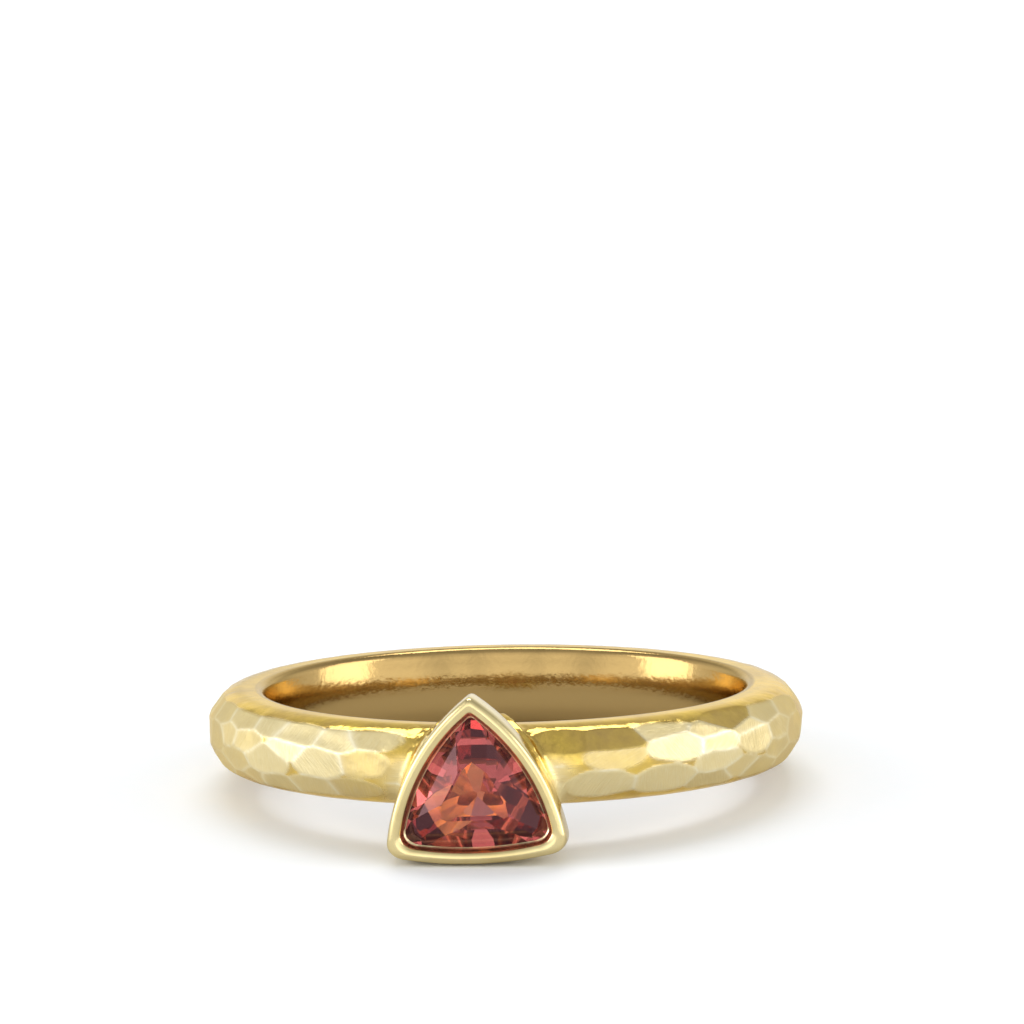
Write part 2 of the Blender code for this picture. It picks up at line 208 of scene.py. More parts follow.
class BandSizes(bpy.types.PropertyGroup):
    """Sizes of the band, as the solids have them, and the fineness of its surface."""
    bore: FloatProperty(name="Bore radius", description="Radius of the finger hole",
                        default=8.50 * MM, unit="LENGTH")
    thickness: FloatProperty(name="Thickness", description="From the bore to the dome's crown",
                             default=2.24 * MM, unit="LENGTH")
    height: FloatProperty(name="Height", description="Height along the finger",
                          default=2.90 * MM, unit="LENGTH")
    easing: FloatProperty(name="Easing", description="How much wider the bore is at its rim",
                          default=0.16 * MM, unit="LENGTH")
    bore_round: FloatProperty(name="Bore rounding", description="Rounding of the bore's rim",
                              default=0.30 * MM, unit="LENGTH")
    side_flat: FloatProperty(name="Side flat", description="Width of the polished side",
                             default=0.34 * MM, unit="LENGTH")
    squareness: FloatProperty(name="Dome squareness", description="1 is an ellipse, less is fuller",
                              default=0.92)
    hollow: FloatProperty(name="Hollow of marks", description="How fast a mark's floor rises",
                          default=18.0)
    ridge: FloatProperty(name="Ridge softness", description="Rounding where marks meet",
                         default=0.012 * MM, unit="LENGTH")
    fillet: FloatProperty(name="Solder fillet", description="Radius where band and setting meet",
                          default=0.42 * MM, unit="LENGTH")
    around: IntProperty(name="Steps round", description="Faces round, a multiple of 32", default=896)
    across: IntProperty(name="Steps across", description="Faces across the dome", default=72)
    seed: IntProperty(name="Seed", description="Seed of the scattered marks", default=11)


class SettingSizes(bpy.types.PropertyGroup):
    """Sizes of the cup setting and the lip over the stone."""
    width: FloatProperty(name="Width", description="Width of the outline",
                         default=6.56 * MM, unit="LENGTH")
    height: FloatProperty(name="Height", description="Height of the outline",
                          default=6.00 * MM, unit="LENGTH")
    drop: FloatProperty(name="Drop", description="How far its middle lies below the band's",
                        default=0.19 * MM, unit="LENGTH")
    proud: FloatProperty(name="Proud", description="How far the face stands out from the crown",
                         default=1.30 * MM, unit="LENGTH")
    taper: FloatProperty(name="Taper", description="How much the outline draws in at the back",
                         default=0.80 * MM, unit="LENGTH")
    straight: FloatProperty(name="Straight wall", description="Depth of the straight wall",
                            default=0.95 * MM, unit="LENGTH")
    side_bulge: FloatProperty(name="Side bulge", description="Bulge of the two sides",
                              default=0.72 * MM, unit="LENGTH")
    foot_bulge: FloatProperty(name="Foot bulge", description="Bulge of the foot",
                              default=0.40 * MM, unit="LENGTH")
    point_round: FloatProperty(name="Point rounding", description="Rounding of the point",
                               default=0.10 * MM, unit="LENGTH")
    corner_round: FloatProperty(name="Corner rounding", description="Rounding of foot corners",
                                default=0.42 * MM, unit="LENGTH")
    lip_width: FloatProperty(name="Lip width", description="Width to the edge over the stone",
                             default=0.60 * MM, unit="LENGTH")
    lip_thickness: FloatProperty(name="Lip thickness", description="Thickness at the stone",
                                 default=0.40 * MM, unit="LENGTH")
    lean: FloatProperty(name="Lean", description="How far the point leans to the left",
                        default=math.radians(2.2), subtype="ANGLE")
    steps: IntProperty(name="Steps round", description="Points round the outline", default=324)


class GarnetSizes(bpy.types.PropertyGroup):
    """Sizes and angles of the stone."""
    clearance: FloatProperty(name="Clearance", description="Between stone and metal",
                             default=0.12 * MM, unit="LENGTH")
    girdle: FloatProperty(name="Girdle", description="Height of the girdle",
                          default=0.12 * MM, unit="LENGTH")
    crown: FloatProperty(name="Crown", description="Height of the crown",
                         default=0.72 * MM, unit="LENGTH")
    crown_angle: FloatProperty(name="Crown angle", description="Slope of the main crown facets",
                               default=math.radians(36.0), subtype="ANGLE")
    pavilion: FloatProperty(name="Pavilion", description="Depth of the back",
                            default=2.05 * MM, unit="LENGTH")
    middle: FloatProperty(name="Middle", description="Its height, as a share of the setting's",
                          default=0.40)
    window: FloatProperty(name="Window", description="Window behind it, as a share of its seat",
                          default=0.20)


class Finishes(bpy.types.PropertyGroup):
    """Colours of the metal and the stone, some of them painted light or shade."""
    gold: FloatVectorProperty(name="Gold", description="Colour of the satin setting",
                              default=(0.93, 0.79, 0.42), subtype="COLOR")
    # Deep gold is more saturated than the satin gold: partly the gold's own colour, partly a painted
    # reflection of gold on gold
    deep: FloatVectorProperty(name="Deep gold", description="Colour of mirror-polished gold",
                              default=(0.93, 0.66, 0.14), subtype="COLOR")
    # Bore gold is darker and browner than the polished gold: painted shade inside the finger hole
    bore: FloatVectorProperty(name="Bore gold", description="Colour inside the finger hole",
                              default=(0.50, 0.34, 0.13), subtype="COLOR")
    brushed: FloatVectorProperty(name="Brushed gold", description="Colour of brushed gold",
                                 default=(0.89, 0.76, 0.42), subtype="COLOR")
    # Ridge gold is paler than the brushed gold: a painted highlight on the ridges; it also lightens
    # the bright cut and the file streaks
    ridge: FloatVectorProperty(name="Ridge gold", description="Colour of the rubbed ridges",
                               default=(0.99, 0.92, 0.68), subtype="COLOR")
    seat: FloatVectorProperty(name="Seat", description="Colour of the dulled seat under the stone",
                              default=(0.95, 0.72, 0.38), subtype="COLOR")
    # The lip's wall colour is dark: painted shade on the lip's inner wall, deeper inside the setting
    wall: FloatVectorProperty(name="Lip's wall", description="Colour of the lip's inner wall",
                              default=(0.34, 0.30, 0.14), subtype="COLOR")
    glow: FloatVectorProperty(name="Seat's glow", description="Light the seat gives off by itself",
                              default=(0.36, 0.42, 0.23), subtype="COLOR")
    worn_gold: FloatVectorProperty(name="Worn gold", description="Worn patches of the setting",
                                   default=(0.80, 0.65, 0.31), subtype="COLOR")
    worn_deep: FloatVectorProperty(name="Worn deep gold", description="Worn patches of the band",
                                   default=(0.66, 0.45, 0.14), subtype="COLOR")
    garnet: FloatVectorProperty(name="Garnet", description="Colour of the stone's surface",
                                default=(0.60, 0.32, 0.265), subtype="COLOR")
    depth: FloatVectorProperty(name="Garnet's depth", description="What thick garnet lets through",
                               default=(0.88, 0.28, 0.32), subtype="COLOR")
    density: FloatProperty(name="Garnet's density", description="How fast its colour deepens",
                           default=300.0)
    floor: FloatVectorProperty(name="Floor", description="Colour of the floor",
                               default=(0.90, 0.92, 0.945), subtype="COLOR")


class StageSizes(bpy.types.PropertyGroup):
    """Where the camera stands, as the photograph shows the ring."""
    turn: FloatProperty(name="Turn", description="Camera's turn to the right of the setting",
                        default=math.radians(5.55), subtype="ANGLE")
    rise: FloatProperty(name="Rise", description="Camera's rise over the ring's own plane",
                        default=math.radians(8.2), subtype="ANGLE")
    roll: FloatProperty(name="Roll", description="Roll of the photograph",
                        default=math.radians(-0.91), subtype="ANGLE")
    distance: FloatProperty(name="Distance", description="From the ring to the camera",
                            default=0.60, unit="LENGTH")
    pixels_per_mm: FloatProperty(name="Scale", description="Photograph pixels per millimetre",
                                 default=27.72)
    centre_x: FloatProperty(name="Centre X", description="Ring's middle in the photograph, pixels",
                            default=505.5)
    centre_y: FloatProperty(name="Centre Y", description="Ring's middle in the photograph, pixels",
                            default=723.6)
    floor_radius: FloatProperty(name="Floor radius", description="Radius of the floor",
                                default=0.55, unit="LENGTH")


class RingProperties(bpy.types.PropertyGroup):
    """All that a user would change."""
    band: PointerProperty(type=BandSizes)
    setting: PointerProperty(type=SettingSizes)
    garnet: PointerProperty(type=GarnetSizes)
    finish: PointerProperty(type=Finishes)
    stage: PointerProperty(type=StageSizes)


def settings():
    """The ring's properties."""
    return bpy.context.scene.garnet_ring


def rest_matrix():
    """Lays the upright ring down onto the solids, from the record's mount on its upper side."""
    band = settings().band
    mount = frame["record"]["mounts"][0]
    axis = Vector(mount["axis"]).normalized()
    turn = Matrix.Rotation(-math.atan2(axis.y, axis.z), 4, "X")
    flat = band.bore + band.easing + band.bore_round + band.side_flat / 2
    centre = Vector(mount["pos_m"]) - turn @ Vector((0.0, flat, band.height / 2))
    return Matrix.Translation(centre) @ turn


def put_in_scene(name, data):
    """An object of the given data, linked into the scene."""
    obj = bpy.data.objects.new(name, data)
    bpy.context.scene.collection.objects.link(obj)
    return obj


def object_of(name, bm):
    """An object of a shaped piece, which is used up."""
    mesh = bpy.data.meshes.new(name)
    bm.to_mesh(mesh)
    bm.free()
    return put_in_scene(name, mesh)


def laid_down(name, bm):
    """An object of a piece that was shaped upright, laid down onto the solids."""
    bmesh.ops.recalc_face_normals(bm, faces=bm.faces)
    bmesh.ops.transform(bm, matrix=rest_matrix(), verts=bm.verts)
    return object_of(name, bm)


def finished(obj, material, solid):
    """Give a piece its material, attach it to the root body and hide the solid it stands for."""
    obj.data.materials.append(material)
    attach(obj, "root")
    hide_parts(solid)


def upright_points(mesh):
    """A laid-down mesh's vertices as an array, back in the upright ring's place."""
    back = np.array(rest_matrix().inverted())
    points = np.zeros(len(mesh.vertices) * 3)
    mesh.vertices.foreach_get("co", points)
    return points.reshape(-1, 3) @ back[:3, :3].T + back[:3, 3]


def cut_away(bm, point, normal):
    """Slice off what lies beyond a plane, and close the cut with one face."""
    everything = bm.verts[:] + bm.edges[:] + bm.faces[:]
    cut = bmesh.ops.bisect_plane(bm, geom=everything, dist=1e-7, plane_co=point,
                                 plane_no=normal, clear_outer=True)
    rim = [item for item in cut["geom_cut"]
           if isinstance(item, bmesh.types.BMEdge) and item.is_boundary]
    if rim:
        bmesh.ops.holes_fill(bm, edges=rim)


# The setting's outline

def arc_through(start, end, bulge):
    """Centre and radius of the arc from start to end that bulges to the right of the way."""
    chord = end - start
    half = chord.length / 2
    radius = (half * half + bulge * bulge) / (2 * bulge)
    outward = Vector((chord.y, -chord.x)).normalized()
    return (start + end) / 2 - outward * (radius - bulge), radius


def setting_levels():
    """Levels of the setting's foot and point above the middle of the band."""
    size = settings().setting
    return -size.drop - size.height / 2, -size.drop + size.height / 2


def face_radius():
    """Distance of the setting's face from the finger hole's axis."""
    all_sizes = settings()
    return all_sizes.band.bore + all_sizes.band.thickness + all_sizes.setting.proud


def outline_centre():
    """The stone's middle in the front view."""
    foot = setting_levels()[0]
    return Vector((0.0, foot + settings().setting.height * settings().garnet.middle))


def rounded_least(first, second, blend):
    """The lesser of two lengths, eased where they meet."""
    near = max(blend - abs(first - second), 0.0) / blend
    return min(first, second) - near * near * blend / 4


def outline_ways(count):
    """Directions of the outline's points, closer together at the corners."""
    size = settings().setting
    foot = setting_levels()[0]
    corner = Vector((size.width / 2, foot + size.foot_bulge)) - outline_centre()
    low = math.atan2(corner.y, corner.x)
    corners = (low, math.pi / 2, math.pi - low, low + 2 * math.pi)
    steps = count // 3
    ways = []
    for start, end in zip(corners[:-1], corners[1:]):
        for step in range(steps):
            share = step / steps
            eased = share - CORNER_GATHER * math.sin(2 * math.pi * share)
            ways.append(start + (end - start) * eased)
    return [Vector((math.cos(way), math.sin(way))) for way in ways]


def outline(inset, count):
    """Points of the setting's outline, drawn in by an inset, as seen from the front."""
    size = settings().setting
    foot, point = setting_levels()
    right_corner = Vector((size.width / 2, foot + size.foot_bulge))
    left_corner = Vector((-right_corner.x, right_corner.y))
    top = Vector((0.0, point + size.point_round / 2))
    arcs = (arc_through(right_corner, top, size.side_bulge),
            arc_through(top, left_corner, size.side_bulge),
            arc_through(left_corner, right_corner, size.foot_bulge))
    centre = outline_centre()
    points = []
    for way in outline_ways(count):
        reaches = []
        for middle, radius in arcs:
            offset = middle - centre
            along = offset.dot(way)
            inner = (radius - inset) ** 2 - offset.length_squared + along * along
            reaches.append(along + math.sqrt(inner))
        reach = rounded_least(reaches[0], reaches[1], size.point_round * 2)
        reach = rounded_least(reach, reaches[2], size.corner_round * 2)
        points.append(centre + Matrix.Rotation(size.lean, 2) @ way * reach)
    return points


def shrunk(points, share):
    """An outline scaled about the stone's middle."""
    centre = outline_centre()
    return [centre + (point - centre) * share for point in points]


def place(point, depth):
    """A point of the front view, at a depth behind the setting's face."""
    return Vector((point.x, -(face_radius() - depth), point.y))


def ringed(sections, closed):
    """A tube drawn ring by ring through its sections, joined to itself or capped."""
    bm = bmesh.new()
    points, depth = sections[0]
    count = len(points)
    bmesh.ops.create_circle(bm, cap_ends=not closed, radius=MM, segments=count)
    bm.verts.ensure_lookup_table()
    for vertex, point in zip(bm.verts[:], points):
        vertex.co = place(point, depth)
    first = bm.edges[:]
    edges = first
    current = bm.verts[:]
    for points, depth in sections[1:]:
        grown = bmesh.ops.extrude_edge_only(bm, edges=edges)["geom"]
        fresh = {item for item in grown if isinstance(item, bmesh.types.BMVert)}
        by_place = {}
        for vertex in fresh:
            for edge in vertex.link_edges:
                other = edge.other_vert(vertex)
                if other not in fresh:
                    by_place[other] = vertex
        current = [by_place[vertex] for vertex in current]
        for vertex, point in zip(current, points):
            vertex.co = place(point, depth)
        edges = [item for item in grown if isinstance(item, bmesh.types.BMEdge)
                 and item.verts[0] in fresh and item.verts[1] in fresh]
    if closed:
        bmesh.ops.bridge_loops(bm, edges=first + edges)
    else:
        bmesh.ops.contextual_create(bm, geom=edges)
    return bm


# The band

def half_section():
    """The upper half of the band's section, from the crown down to the middle of the bore."""
    band = settings().band
    half = band.height / 2
    flat_outer = band.bore + band.easing + band.bore_round + band.side_flat
    crown = band.bore + band.thickness
    points = []
    steps = band.across // 2
    for step in range(steps + 1):
        turn = math.pi / 2 * step / steps
        radius = flat_outer + (crown - flat_outer) * math.cos(turn) ** band.squareness
        points.append((radius, half * math.sin(turn) ** band.squareness))
    points[-1] = (flat_outer, half)
    flat_inner = flat_outer - band.side_flat
    for step in range(1, 5):
        points.append((flat_outer - band.side_flat * step / 4, half))
    for step in range(1, 6):
        turn = math.pi / 2 * step / 5
        points.append((flat_inner - band.bore_round * math.sin(turn),
                       half - band.bore_round * (1 - math.cos(turn))))
    rim_level = half - band.bore_round
    for step in range(1, 6):
        level = rim_level * (1 - step / 5)
        points.append((band.bore + band.easing * (level / rim_level) ** 2, level))
    return points


def section():
    """The whole section, round once."""
    upper = half_section()
    lower = [(radius, -level) for radius, level in reversed(upper[1:-1])]
    return upper + lower


def dome_reach(look_up):
    """How far the unhammered dome reaches in a direction, in radians of look up."""
    return max(radius * math.cos(look_up) + level * math.sin(look_up)
               for radius, level in half_section())


def hammer_marks():
    """All marks as arrays: the planes of their floors, and how each is brushed and tinted."""
    band = settings().band
    scatter = random.Random(band.seed)
    marks = list(HAMMER_MARKS)
    columns = int((FAR_TO - FAR_FROM) / FAR_SPACING)
    for row, look_up in enumerate(FAR_ROWS):
        for column in range(columns + 1):
            azimuth = FAR_FROM + FAR_SPACING * (column + row * FAR_SHIFT)
            marks.append((azimuth + scatter.uniform(-STRAY_ROUND, STRAY_ROUND),
                          look_up + scatter.uniform(-STRAY_UP, STRAY_UP),
                          FAR_DEPTH * scatter.uniform(0.75, 1.25),
                          scatter.uniform(40, 130), scatter.uniform(0.5, 1.0)))
    normals = []
    distances = []
    middles = []
    for azimuth, look_up, share, _, _ in marks:
        turn = math.radians(azimuth)
        up = math.radians(look_up)
        outward = Vector((math.sin(turn), -math.cos(turn), 0.0))
        normal = outward * math.cos(up) + Vector((0.0, 0.0, math.sin(up)))
        reach = dome_reach(abs(up))
        radius, level = max(half_section(), key=lambda at: at[0] * math.cos(up)
                            + at[1] * math.sin(abs(up)))
        normals.append(normal)
        distances.append(reach - share * band.thickness)
        middles.append(outward * radius + Vector((0.0, 0.0, math.copysign(level, up))))
    return {
        "normal": np.array(normals),
        "distance": np.array(distances),
        "middle": np.array(middles),
        "stroke": np.radians([mark[3] for mark in marks]),
        "brush": np.array([mark[4] for mark in marks]),
        "tint": np.array([scatter.random() for _ in marks]),
        "slide": np.array([scatter.uniform(-STROKE_SLIDE, STROKE_SLIDE) for _ in marks]),
        "wave": np.array([[scatter.gauss(0, WAVE_SPREAD) for _ in range(3)] for _ in marks]),
        "phase": np.array([scatter.uniform(0, PHASE_RANGE) for _ in marks]),
    }


def mark_levels(points, marks):
    """How far each point stands over the hollow floor of each mark."""
    over = points @ marks["normal"].T - marks["distance"]
    over = over + FLOOR_WAVE * np.sin(points @ marks["wave"].T + marks["phase"])
    away = (points ** 2).sum(1)[:, None] + (marks["middle"] ** 2).sum(1)
    away = away - 2 * points @ marks["middle"].T
    return over - settings().band.hollow * away


def outward_ways(points):
    """The band's outward direction at points of its dome and sides."""
    band = settings().band
    turn = np.arctan2(points[:, 0], -points[:, 1])
    radius = np.hypot(points[:, 0], points[:, 1])
    flat_outer = band.bore + band.easing + band.bore_round + band.side_flat
    out = np.maximum(radius - flat_outer, 0.0)
    length = np.hypot(out, points[:, 2]) + 1e-9
    ways = np.zeros_like(points)
    ways[:, 0] = np.sin(turn) * out / length
    ways[:, 1] = -np.cos(turn) * out / length
    ways[:, 2] = points[:, 2] / length
    return ways


def beside_setting(points):
    """How far points lie outside the setting's wall, as seen from the front."""
    size = settings().setting
    centre = outline_centre()
    rim = outline(0.0, FINE_COUNT)
    ways = np.array([math.atan2(point.y - centre.y, point.x - centre.x) for point in rim])
    reaches = np.array([(point - centre).length for point in rim])
    order = np.argsort(ways)
    ways = ways[order]
    reaches = reaches[order]
    slopes = np.gradient(reaches, ways) / reaches
    way = np.arctan2(points[:, 2] - centre.y, points[:, 0])
    away = np.hypot(points[:, 0], points[:, 2] - centre.y)
    reach = np.interp(way, ways, reaches, period=2 * math.pi)
    slope = np.interp(way, ways, slopes, period=2 * math.pi)
    depth = face_radius() + points[:, 1]
    back = settings().band.thickness
    share = np.clip((depth - size.straight) / back, 0.0, 1.2)
    gap = (away - reach) / np.sqrt(1 + slope ** 2) + size.taper * share ** 2
    gap[points[:, 1] > 0] = 1.0
    return gap


def hammer(points, marks):
    """Push points of the dome down onto the floors of the marks, with softened ridges."""
    band = settings().band
    ways = outward_ways(points)
    over = mark_levels(points, marks)
    facing = ways @ marks["normal"].T
    push = np.where(facing > LEAST_FACING, over / np.maximum(facing, LEAST_FACING), -1.0)
    soft = band.ridge
    top = np.maximum(push.max(1), 0.0)
    weight = np.exp((push - top[:, None]) / soft).sum(1) + np.exp(-top / soft)
    push = top + soft * np.log(weight)
    push = np.where(push < soft, push * 0.5, push)
    return points - ways * push[:, None]


def solder(points):
    """Draw the band up to the setting's wall in a hollow fillet that dies out at the bore."""
    band = settings().band
    radius = band.fillet
    gap = np.clip(beside_setting(points), 0.0, radius)
    rise = radius - np.sqrt(radius ** 2 - (radius - gap) ** 2)
    flat_inner = band.bore + band.easing + band.bore_round
    fade = np.clip((np.hypot(points[:, 0], points[:, 1]) - flat_inner) / FILLET_FADE, 0.0, 1.0)
    rise = rise * fade * fade * (3 - 2 * fade)
    return points + outward_ways(points) * rise[:, None]


def roughen(points):
    """Slight unevenness all over, and small lumps and creases of solder beside the setting."""
    ways = outward_ways(points)
    band = settings().band
    gap = beside_setting(points)
    near = np.clip(1.0 - gap / SOLDER_REACH, 0.0, 1.0) * (gap > SOLDER_FROM)
    upper = np.clip((points[:, 2] - 0.15 * MM) / (0.5 * MM), 0.0, 1.0)
    crown = band.bore + band.thickness
    dome = np.clip((np.hypot(points[:, 0], points[:, 1]) - crown + 1.3 * MM) / (0.5 * MM), 0, 1)
    lift = np.zeros(len(points))
    for number, point in enumerate(points):
        spot = Vector(point)
        even = sum(noise.noise(spot * pitch) * height for pitch, height in UNEVEN)
        if near[number] > 0:
            lump = noise.noise(spot * LUMP_PITCH + Vector((3, 1, 7)))
            crease = CREASE_WIDTH - abs(noise.noise(spot * CREASE_PITCH + Vector((9, 4, 2))))
            lumpy = LUMP_HEIGHT * lump - CREASE_DEPTH * max(crease, 0.0)
            even += near[number] * upper[number] * lumpy
            even += near[number] * GRAIN_HEIGHT * noise.noise(spot * GRAIN_PITCH)
        lift[number] = even * MM * dome[number]
    return points + ways * lift[:, None]


def band_shape():
    """The band: its section spun round, hammered and soldered."""
    band = settings().band
    profile = section()
    bm = bmesh.new()
    bmesh.ops.create_circle(bm, cap_ends=False, radius=MM, segments=len(profile))
    bm.verts.ensure_lookup_table()
    for vertex, (radius, level) in zip(bm.verts[:], profile):
        vertex.co = (0.0, -radius, level)
    part = 2 * math.pi / 2 ** DOUBLINGS
    bmesh.ops.spin(bm, geom=bm.verts[:] + bm.edges[:], cent=(0, 0, 0), axis=(0, 0, 1),
                   angle=part, steps=band.around // 2 ** DOUBLINGS, use_merge=False,
                   dvec=(0, 0, 0))
    for doubling in range(DOUBLINGS):
        copied = bmesh.ops.duplicate(bm, geom=bm.verts[:] + bm.edges[:] + bm.faces[:])["geom"]
        bmesh.ops.rotate(bm, cent=(0, 0, 0),
                         matrix=Matrix.Rotation(part * 2 ** doubling, 3, "Z"),
                         verts=[item for item in copied if isinstance(item, bmesh.types.BMVert)])
    bmesh.ops.remove_doubles(bm, verts=bm.verts, dist=2e-7)
    points = np.array([vertex.co for vertex in bm.verts])
    radius = np.hypot(points[:, 0], points[:, 1])
    turn = np.arctan2(points[:, 0], -points[:, 1])
    turn = turn - FRONT_GATHER * np.sin(turn)
    points[:, 0] = radius * np.sin(turn)
    points[:, 1] = -radius * np.cos(turn)
    flat_inner = band.bore + band.easing + band.bore_round
    worked = radius > flat_inner - 1e-6
    marks = hammer_marks()
    points[worked] = roughen(solder(hammer(points[worked], marks)))
    for vertex, point in zip(bm.verts, points):
        vertex.co = point
    return bm


def girdle_level():
    """How deep behind the setting's face the top of the stone's girdle lies."""
    return settings().setting.lip_thickness + settings().garnet.clearance + GIRDLE_DROP


def seat_sections(grow, count):
    """Rings of the hollow for the stone, from the lip to the window, and the window's outline."""
    size = settings().setting
    stone = settings().garnet
    girdle_foot = girdle_level() + stone.girdle
    pocket_foot = girdle_foot + 2 * stone.clearance
    culet = girdle_foot + stone.pavilion
    pocket = outline(size.lip_width - 2 * stone.clearance - grow, count)
    window = shrunk(pocket, stone.window)
    inner = outline(size.lip_width - grow, count)
    return [(inner, size.lip_thickness), (pocket, size.lip_thickness + stone.clearance / 2),
            (pocket, pocket_foot), (window, culet - stone.pavilion * stone.window / 2)], window


class GARNET_OT_band(bpy.types.Operator):
    """Shape the hammered band."""
    bl_idname = "garnet_ring.band"
    bl_label = "Hammered band"

    def execute(self, context):
        band = settings().band
        shape = band_shape()
        seat, window = seat_sections(CUTTER_ROOM, CUTTER_COUNT)
        inner = seat[0][0]
        through = face_radius() - band.bore + band.thickness / 2
        cutter = ringed([(inner, -MM)] + seat + [(window, through)], closed=False)
        obj = cut_by(shape, cutter)
        obj.data.shade_smooth()
        finished(obj, hammered_gold(), BAND_NODE)
        mark_band(obj.data)
        return {"FINISHED"}


def cut_by(shape, cutter):
    """Lay the band down, with its seat cut out of it by the cutter."""
    blank = laid_down("band_blank", shape)
    tool = laid_down("seat_cutter", cutter)
    cut = blank.modifiers.new("seat", "BOOLEAN")
    cut.operation = "DIFFERENCE"
    cut.object = tool
    bpy.context.view_layer.update()
    held = blank.evaluated_get(bpy.context.evaluated_depsgraph_get())
    mesh = bpy.data.meshes.new_from_object(held)
    for piece in (blank, tool):
        bpy.data.objects.remove(piece)
    mesh.name = "hammered_band"
    return put_in_scene("hammered_band", mesh)


def brushing_masks(points, levels, marks):
    """How much of a ridge's painted highlight, of a tint and of brushing each point has, from 0 to
    1.
    """
    half = settings().band.height / 2
    ranked = np.sort(levels, axis=1)
    weight = np.exp((levels - ranked[:, -1:]) / MARK_BLEND)
    weight = weight / weight.sum(1)[:, None]
    dented = 1 / (1 + np.exp(-(ranked[:, -1] + DENT_LEVEL) / DENT_BLEND))
    near = np.clip(1.3 - beside_setting(points) / (1.0 * MM), 0.0, 1.0)
    near = near * np.clip(1.2 - points[:, 2] / (0.5 * MM), 0.0, 1.0)
    brush = np.maximum((weight @ marks["brush"]) * dented, 0.75 * near)
    rim = np.array([noise.noise(Vector(point) * 700) for point in points]) * RIM_WANDER
    brush = brush * np.clip((half - RIM_BARE + rim - abs(points[:, 2])) / RIM_BLEND, 0.0, 1.0)
    # Painted highlight on the ridges where two marks meet
    ridge = np.exp(-(ranked[:, -1] - ranked[:, -2]) / RIDGE_WIDTH)
    ridge = ridge * np.clip(brush * 1.8 - 0.5, 0.0, 1.0)
    return ridge, weight @ marks["tint"], brush


def mark_band(mesh):
    """Give the band its stroke map and its mask of ridge highlights, tints, brushing and the bore's
    painted shade.
    """
    band = settings().band
    marks = hammer_marks()
    points = upright_points(mesh)
    radius = np.hypot(points[:, 0], points[:, 1])
    turn = np.arctan2(points[:, 0], -points[:, 1])
    climb = np.arctan2(points[:, 2], radius - (band.bore + band.thickness / 2))
    levels = mark_levels(points, marks)
    ridge, tint, brush = brushing_masks(points, levels, marks)
    corner = np.zeros(len(mesh.loops), dtype=np.int64)
    mesh.loops.foreach_get("vertex_index", corner)
    totals = np.zeros(len(mesh.polygons), dtype=np.int64)
    mesh.polygons.foreach_get("loop_total", totals)
    face_of = np.repeat(np.arange(len(mesh.polygons)), totals)
    starts = np.concatenate(([0], np.cumsum(totals)[:-1]))
    sums = np.add.reduceat(levels[corner], starts, axis=0)
    chosen = np.argmax(sums, axis=1)
    held = sums[np.arange(len(chosen)), chosen] / totals
    mark = chosen[face_of]
    inside = held[face_of] > STROKE_FLOOR
    mark_turn = np.arctan2(marks["normal"][:, 0], -marks["normal"][:, 1])[mark]
    offset = np.mod(turn[corner] - mark_turn + math.pi, 2 * math.pi) - math.pi
    around = np.where(inside, mark_turn + offset, turn[corner])
    around = around * (band.bore + band.thickness) / MM
    across = climb[corner] * STROKE_ACROSS
    stroke = np.where(inside, marks["stroke"][mark], 0.0)
    slide = np.where(inside, marks["slide"][mark], 0.0)
    along = around * np.cos(stroke) + across * np.sin(stroke) + slide
    over = across * np.cos(stroke) - around * np.sin(stroke)
    uv = mesh.uv_layers.new(name="strokes")
    uv.data.foreach_set("uv", np.stack([along, over], axis=1).ravel())
    worked = radius[corner] > band.bore + band.easing + band.bore_round
    # The bore and its rounding get the darker bore gold: painted shade
    bore_shade = 1.0 - worked.astype(float)
    mask = np.stack([ridge[corner] * worked, tint[corner], brush[corner] * worked, bore_shade],
                    axis=1)
    layer = mesh.color_attributes.new("marks", "FLOAT_COLOR", "CORNER")
    layer.data.foreach_set("color", mask.ravel())


# The setting

def cup_sections():
    """Rings of the cup: out over the back, up the wall, over the lip and into the seat."""
    size = settings().setting
    band = settings().band
    stone = settings().garnet
    count = size.steps
    seat, window = seat_sections(0.0, count)
    culet = seat[-1][1] + stone.pavilion * stone.window / 2
    back = culet + BACK_WALL
    through = face_radius() - band.bore - LINER_SHORT
    liner = seat_sections(LINER_WALL, count)[1]
    sections = [(window, through), (liner, through), (liner, back)]
    tapered = outline(size.taper, count)
    sections.append((shrunk(tapered, BACK_FLAT), back))
    for step in range(1, 4):
        turn = math.pi / 2 * step / 3
        sections.append((shrunk(tapered, BACK_FLAT + (1 - BACK_FLAT) * math.sin(turn)),
                         back - BACK_ROUND * (1 - math.cos(turn))))
    for step in range(7, -1, -1):
        share = step / 8
        sections.append((outline(size.taper * share * share, count),
                         size.straight + (back - size.straight) * share))
    sections.append((outline(0.0, count), size.straight * 0.60))
    for inset, depth in EDGE_SHAPE:
        sections.append((outline(inset * MM, count), depth * MM))
    return sections, seat


def lip_sections(count):
    """Rings of the lip's face, from its rounded outer edge to the bright cut at the stone."""
    wander = random.Random(LIP_SEED)
    waves = [(wander.uniform(0, PHASE_RANGE), pitch) for pitch in LIP_WAVES]
    centre = outline_centre()
    rings = []
    for number, (inset, depth) in enumerate(LIP_SHAPE):
        rough = max(number - LIP_SMOOTH_RINGS, 0) / 4
        ring = []
        for step, point in enumerate(outline(inset * MM, count)):
            turn = 2 * math.pi * step / count
            wave = sum(math.sin(turn * pitch + phase) / (1 + pitch * 0.04)
                       for phase, pitch in waves) / 4
            ring.append(point + (point - centre).normalized() * wave * LIP_WANDER * rough)
        rings.append((ring, depth * MM))
    return rings


